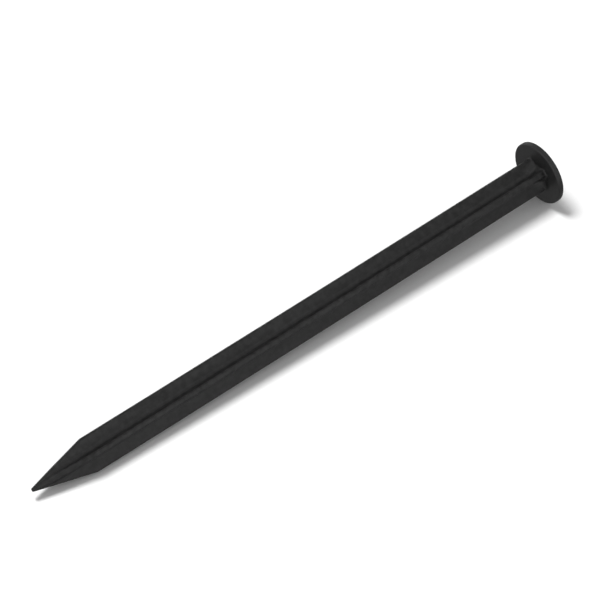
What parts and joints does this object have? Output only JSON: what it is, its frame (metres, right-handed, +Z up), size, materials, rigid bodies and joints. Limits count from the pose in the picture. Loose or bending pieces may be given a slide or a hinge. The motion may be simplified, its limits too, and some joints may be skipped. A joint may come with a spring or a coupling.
{
  "type": "ground anchor spike",
  "caption": "Black moulded plastic ground spike with a round flat head, a cruciform finned shank and a tapered point, driven in to pin garden edging to the ground.",
  "frame": {"origin": "centre of the head's flat underside, on the spike's axis", "axes": "+X along the spike's axis from the point to the head; +Z up with the spike lying on its side, its four fins on the diagonals of the YZ plane"},
  "size_m": [0.25, 0.0264, 0.0264],
  "materials": {
    "black_plastic": "as-moulded black polyolefin, matt to satin, faintly mottled"
  },
  "bodies": {
    "root": {"head": "black_plastic", "neck": "black_plastic", "shank_web": "black_plastic", "shank_rib_upper": "black_plastic", "shank_rib_lower": "black_plastic", "point": "black_plastic"}
  },
  "joints": []
}
